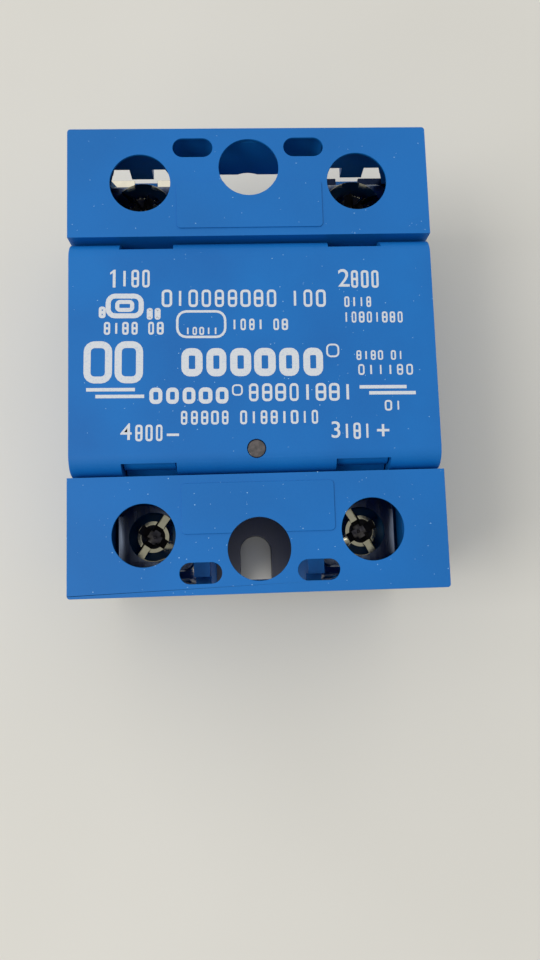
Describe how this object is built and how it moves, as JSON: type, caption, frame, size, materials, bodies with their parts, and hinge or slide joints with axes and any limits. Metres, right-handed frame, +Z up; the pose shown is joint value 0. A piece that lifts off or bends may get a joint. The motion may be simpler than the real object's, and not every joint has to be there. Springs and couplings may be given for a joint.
{
  "type": "solid state relay",
  "caption": "Panel-mount solid state relay with a blue moulded body, hinged terminal covers, screw clamp terminals and an aluminium base plate.",
  "frame": {"origin": "centre of the base plate's underside", "axes": "+Z up out of the base plate, +Y towards the power terminals, +X across the relay with the power end away from the viewer"},
  "size_m": [0.045, 0.058, 0.03],
  "materials": {
    "housing_plastic": "fine moulded texture, blue",
    "cover_plastic": "fine moulded texture, blue",
    "plate_aluminium": "milled, dull",
    "sealant": "cured bead",
    "smoked_lens": "smoked clear plastic",
    "ceramic_white": "unglazed alumina",
    "copper": "bare, etched",
    "silicon": "polished die",
    "gel": "soft clear gel",
    "tinned_brass": "tin plated",
    "circuit_board": "solder mask",
    "component_black": "moulded epoxy",
    "varistor_coat": "dipped epoxy",
    "capacitor_can": "drawn can",
    "led_epoxy": "clear epoxy",
    "zinc_steel": "zinc plated",
    "nickel_steel": "nickel plated"
  },
  "bodies": {
    "relay_body": {"base_plate": "plate_aluminium", "adhesive_seal": "sealant", "housing": "housing_plastic", "light_guide": "smoked_lens", "ceramic_substrate": "ceramic_white", "copper_pads": "copper", "thyristor_chips": "silicon", "silicone_gel": "gel", "gate_pins": "tinned_brass", "control_board": "circuit_board", "opto_coupler": "component_black", "board_resistors": "component_black", "regulator_transistor": "component_black", "surge_suppressor": "varistor_coat", "smoothing_capacitor": "capacitor_can", "indicator_led": "led_epoxy", "power_nuts": "zinc_steel", "control_nuts": "zinc_steel", "power_terminal_left": "tinned_brass", "control_terminal_left": "tinned_brass", "power_terminal_right": "tinned_brass", "control_terminal_right": "tinned_brass"},
    "power_cover": {"flap_power": "cover_plastic"},
    "control_cover": {"flap_control": "cover_plastic"},
    "power_left_clamp_body": {"power_clamp_left": "nickel_steel"},
    "power_left_screw_body": {"power_screw_left": "nickel_steel"},
    "power_right_clamp_body": {"power_clamp_right": "nickel_steel"},
    "power_right_screw_body": {"power_screw_right": "nickel_steel"},
    "control_left_clamp_body": {"control_clamp_left": "nickel_steel"},
    "control_left_screw_body": {"control_screw_left": "nickel_steel"},
    "control_right_clamp_body": {"control_clamp_right": "nickel_steel"},
    "control_right_screw_body": {"control_screw_right": "nickel_steel"}
  },
  "joints": [
    {"name": "power_cover_hinge", "type": "hinge", "parent": "relay_body", "child": "power_cover", "pos_m": [0, 0.0121, 0.0275], "axis": [1, 0, 0], "range_deg": [0, 90]},
    {"name": "control_cover_hinge", "type": "hinge", "parent": "relay_body", "child": "control_cover", "pos_m": [0, -0.0121, 0.0275], "axis": [-1, 0, 0], "range_deg": [0, 90]},
    {"name": "power_left_clamp_lift", "type": "slide", "parent": "relay_body", "child": "power_left_clamp_body", "axis": [0, 0, 1], "range_m": [0, 0.004]},
    {"name": "power_left_screw_turn", "type": "hinge", "parent": "power_left_clamp_body", "child": "power_left_screw_body", "pos_m": [-0.0143, 0.0222, 0.0192], "axis": [0, 0, 1], "range_deg": [0, 1800]},
    {"name": "power_right_clamp_lift", "type": "slide", "parent": "relay_body", "child": "power_right_clamp_body", "axis": [0, 0, 1], "range_m": [0, 0.004]},
    {"name": "power_right_screw_turn", "type": "hinge", "parent": "power_right_clamp_body", "child": "power_right_screw_body", "pos_m": [0.0143, 0.0222, 0.0192], "axis": [0, 0, 1], "range_deg": [0, 1800]},
    {"name": "control_left_clamp_lift", "type": "slide", "parent": "relay_body", "child": "control_left_clamp_body", "axis": [0, 0, 1], "range_m": [0, 0.0028]},
    {"name": "control_left_screw_turn", "type": "hinge", "parent": "control_left_clamp_body", "child": "control_left_screw_body", "pos_m": [-0.0135, -0.02175, 0.0184], "axis": [0, 0, 1], "range_deg": [0, 1440]},
    {"name": "control_right_clamp_lift", "type": "slide", "parent": "relay_body", "child": "control_right_clamp_body", "axis": [0, 0, 1], "range_m": [0, 0.0028]},
    {"name": "control_right_screw_turn", "type": "hinge", "parent": "control_right_clamp_body", "child": "control_right_screw_body", "pos_m": [0.0135, -0.02175, 0.0184], "axis": [0, 0, 1], "range_deg": [0, 1440]}
  ],
  "couplings": [
    {"joint": "power_left_screw_turn", "follows": "power_left_clamp_lift", "rad_per_m": 7854},
    {"joint": "power_right_screw_turn", "follows": "power_right_clamp_lift", "rad_per_m": 7854},
    {"joint": "control_left_screw_turn", "follows": "control_left_clamp_lift", "rad_per_m": 8976},
    {"joint": "control_right_screw_turn", "follows": "control_right_clamp_lift", "rad_per_m": 8976}
  ]
}
